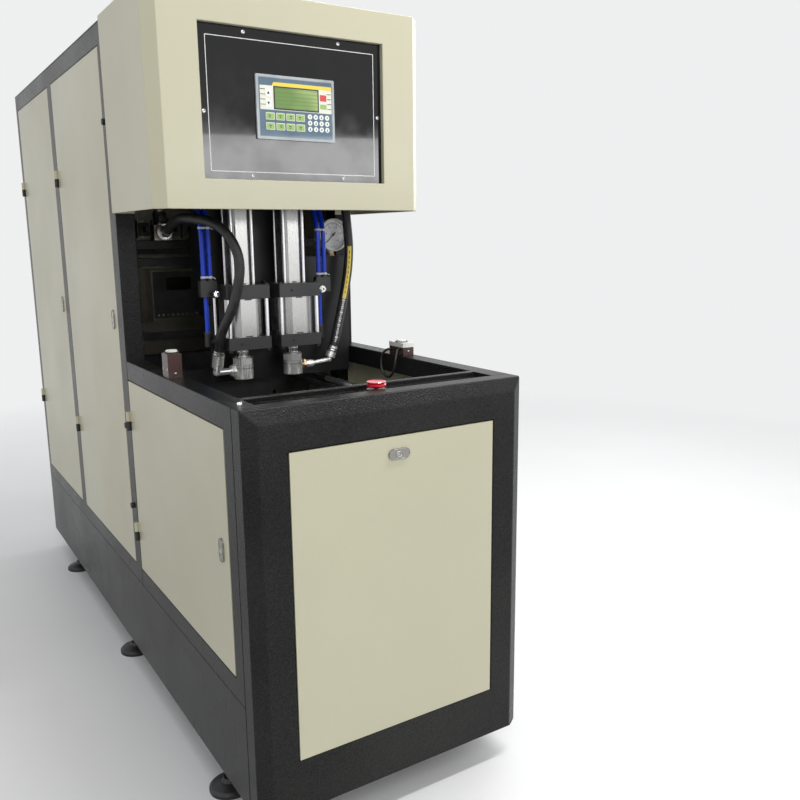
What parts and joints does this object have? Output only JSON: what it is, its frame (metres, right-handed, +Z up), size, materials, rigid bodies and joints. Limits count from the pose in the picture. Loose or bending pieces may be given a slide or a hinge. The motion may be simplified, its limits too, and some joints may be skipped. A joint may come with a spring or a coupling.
{
  "type": "blow moulding machine",
  "caption": "Stretch-blow moulding machine: tall cabinet, overhanging control head, seal and stretch cylinders above an open pit, and a synchronised mould clamp.",
  "frame": {"origin": "on the floor, at the centre of the machine's length and width", "axes": "+Z up, +Y from the operator's front box to the rear of the cabinet, +X to the operator's right"},
  "size_m": [0.734, 2.238, 1.848],
  "materials": {
    "dark_hammertone": "hammertone",
    "beige_paint": "hammertone",
    "foot_steel": "black oxide",
    "machined_steel": "ground and blackened",
    "chromed_steel": "polished",
    "black_block": "black anodised",
    "drawn_aluminium": "satin",
    "brass_valve": "satin",
    "black_gloss": "gloss",
    "controller_plastic": "fine grain",
    "black_rubber": "smooth",
    "blue_tube": "satin",
    "black_plastic": "matte",
    "white_case": "gloss",
    "needle_black": "matte",
    "zinc_plate": "zinc plated",
    "tank_paint": "gloss",
    "red_plastic": "gloss"
  },
  "bodies": {
    "machine": {"base_plinth": "dark_hammertone", "levelling_feet": "foot_steel", "front_bezel": "dark_hammertone", "lower_frame": "dark_hammertone", "cabinet_frame": "dark_hammertone", "roof_sheet": "dark_hammertone", "rear_panel": "beige_paint", "bed_beams": "machined_steel", "head_box": "beige_paint", "control_panel": "black_gloss", "controller": "controller_plastic", "shelf_beams": "dark_hammertone", "cylinder_plate": "machined_steel", "cylinder_blocks": "black_block", "cylinder_barrels": "drawn_aluminium", "cylinder_tie_rods": "chromed_steel", "blow_valves": "brass_valve", "left_blow_hose": "black_rubber", "right_blow_hose": "black_rubber", "air_tubes": "blue_tube", "switch_cable": "black_rubber", "tube_fittings": "black_plastic", "air_manifold": "drawn_aluminium", "gauge_case": "white_case", "front_platen": "machined_steel", "rear_platen": "machined_steel", "tie_bars": "chromed_steel", "clamp_cylinder": "drawn_aluminium", "electric_panel": "zinc_plate", "air_tank": "tank_paint", "hinge_pins": "foot_steel", "switch_boxes": "black_plastic"},
    "left_seal": {"left_seal_rod": "chromed_steel", "left_blow_nozzle": "chromed_steel"},
    "left_stretch": {"left_stretch_rod": "chromed_steel"},
    "left_start": {"left_start_button": "white_case"},
    "left_lower_door_body": {"left_lower_door": "beige_paint"},
    "left_lower_lock_body": {"left_lower_lock": "chromed_steel"},
    "left_front_door_body": {"left_front_door": "beige_paint"},
    "left_front_lock_body": {"left_front_lock": "chromed_steel"},
    "left_rear_door_body": {"left_rear_door": "beige_paint"},
    "left_rear_lock_body": {"left_rear_lock": "chromed_steel"},
    "right_seal": {"right_seal_rod": "chromed_steel", "right_blow_nozzle": "chromed_steel"},
    "right_stretch": {"right_stretch_rod": "chromed_steel"},
    "right_start": {"right_start_button": "white_case"},
    "right_lower_door_body": {"right_lower_door": "beige_paint"},
    "right_lower_lock_body": {"right_lower_lock": "chromed_steel"},
    "right_front_door_body": {"right_front_door": "beige_paint"},
    "right_front_lock_body": {"right_front_lock": "chromed_steel"},
    "right_rear_door_body": {"right_rear_door": "beige_paint"},
    "right_rear_lock_body": {"right_rear_lock": "chromed_steel"},
    "needle": {"gauge_needle": "needle_black"},
    "front_clamp": {"front_moving_platen": "machined_steel"},
    "rear_clamp": {"rear_moving_platen": "machined_steel", "clamp_rod": "chromed_steel"},
    "sync": {"sync_shaft": "machined_steel"},
    "front_panel_body": {"front_panel": "beige_paint"},
    "front_panel_lock_body": {"front_panel_lock": "chromed_steel"},
    "stop": {"stop_button": "red_plastic"}
  },
  "joints": [
    {"name": "left_seal_slide", "type": "slide", "parent": "machine", "child": "left_seal", "axis": [0, 0, -1], "range_m": [0, 0.05]},
    {"name": "left_stretch_slide", "type": "slide", "parent": "machine", "child": "left_stretch", "axis": [0, 0, -1], "range_m": [0, 0.34]},
    {"name": "right_seal_slide", "type": "slide", "parent": "machine", "child": "right_seal", "axis": [0, 0, -1], "range_m": [0, 0.05]},
    {"name": "right_stretch_slide", "type": "slide", "parent": "machine", "child": "right_stretch", "axis": [0, 0, -1], "range_m": [0, 0.34]},
    {"name": "rear_clamp_slide", "type": "slide", "parent": "machine", "child": "rear_clamp", "axis": [0, -1, 0], "range_m": [0, 0.15]},
    {"name": "front_clamp_slide", "type": "slide", "parent": "machine", "child": "front_clamp", "axis": [0, 1, 0], "range_m": [0, 0.15]},
    {"name": "sync_turn", "type": "hinge", "parent": "machine", "child": "sync", "pos_m": [0, -0.443, 0.42], "axis": [-1, 0, 0], "range_deg": [0, 286.5]},
    {"name": "left_lower_door_hinge", "type": "hinge", "parent": "machine", "child": "left_lower_door_body", "pos_m": [-0.3563, -0.29625, 0.652], "axis": [0, 0, -1], "range_deg": [0, 110]},
    {"name": "left_lower_lock_turn", "type": "hinge", "parent": "left_lower_door_body", "child": "left_lower_lock_body", "pos_m": [-0.35, -0.967, 0.652], "axis": [-1, 0, 0], "range_deg": [0, 90]},
    {"name": "left_front_door_hinge", "type": "hinge", "parent": "machine", "child": "left_front_door_body", "pos_m": [-0.3563, 0.39875, 1.08], "axis": [0, 0, -1], "range_deg": [0, 110]},
    {"name": "left_front_lock_turn", "type": "hinge", "parent": "left_front_door_body", "child": "left_front_lock_body", "pos_m": [-0.35, -0.195, 1.08], "axis": [-1, 0, 0], "range_deg": [0, 90]},
    {"name": "left_rear_door_hinge", "type": "hinge", "parent": "machine", "child": "left_rear_door_body", "pos_m": [-0.3563, 1.05575, 1.08], "axis": [0, 0, -1], "range_deg": [0, 110]},
    {"name": "left_rear_lock_turn", "type": "hinge", "parent": "left_rear_door_body", "child": "left_rear_lock_body", "pos_m": [-0.35, 0.5, 1.08], "axis": [-1, 0, 0], "range_deg": [0, 90]},
    {"name": "right_lower_door_hinge", "type": "hinge", "parent": "machine", "child": "right_lower_door_body", "pos_m": [0.3563, -0.29625, 0.652], "axis": [0, 0, 1], "range_deg": [0, 110]},
    {"name": "right_lower_lock_turn", "type": "hinge", "parent": "right_lower_door_body", "child": "right_lower_lock_body", "pos_m": [0.35, -0.967, 0.652], "axis": [-1, 0, 0], "range_deg": [0, 90]},
    {"name": "right_front_door_hinge", "type": "hinge", "parent": "machine", "child": "right_front_door_body", "pos_m": [0.3563, 0.39875, 1.08], "axis": [0, 0, 1], "range_deg": [0, 110]},
    {"name": "right_front_lock_turn", "type": "hinge", "parent": "right_front_door_body", "child": "right_front_lock_body", "pos_m": [0.35, -0.195, 1.08], "axis": [-1, 0, 0], "range_deg": [0, 90]},
    {"name": "right_rear_door_hinge", "type": "hinge", "parent": "machine", "child": "right_rear_door_body", "pos_m": [0.3563, 1.05575, 1.08], "axis": [0, 0, 1], "range_deg": [0, 110]},
    {"name": "right_rear_lock_turn", "type": "hinge", "parent": "right_rear_door_body", "child": "right_rear_lock_body", "pos_m": [0.35, 0.5, 1.08], "axis": [-1, 0, 0], "range_deg": [0, 90]},
    {"name": "front_panel_tilt", "type": "hinge", "parent": "machine", "child": "front_panel_body", "pos_m": [0, -1.116, 0.206], "axis": [1, 0, 0], "range_deg": [0, 20]},
    {"name": "front_panel_lock_turn", "type": "hinge", "parent": "front_panel_body", "child": "front_panel_lock_body", "pos_m": [0, -1.116, 0.842], "axis": [0, -1, 0], "range_deg": [0, 90]},
    {"name": "gauge_needle_turn", "type": "hinge", "parent": "machine", "child": "needle", "pos_m": [0.245, -0.3838, 1.305], "axis": [0, 1, 0], "range_deg": [0, 270], "stiffness_Nm_per_rad": 0.0005},
    {"name": "left_start_press", "type": "slide", "parent": "machine", "child": "left_start", "axis": [0, 0, -1], "range_m": [0, 0.004], "stiffness_N_per_m": 400, "springref_m": -0.004},
    {"name": "right_start_press", "type": "slide", "parent": "machine", "child": "right_start", "axis": [0, 0, -1], "range_m": [0, 0.004], "stiffness_N_per_m": 400, "springref_m": -0.004},
    {"name": "stop_press", "type": "slide", "parent": "machine", "child": "stop", "axis": [0, 0, -1], "range_m": [0, 0.004], "stiffness_N_per_m": 400, "springref_m": -0.004}
  ],
  "couplings": [
    {"joint": "front_clamp_slide", "follows": "rear_clamp_slide", "ratio": 1},
    {"joint": "sync_turn", "follows": "rear_clamp_slide", "rad_per_m": 33.333}
  ]
}
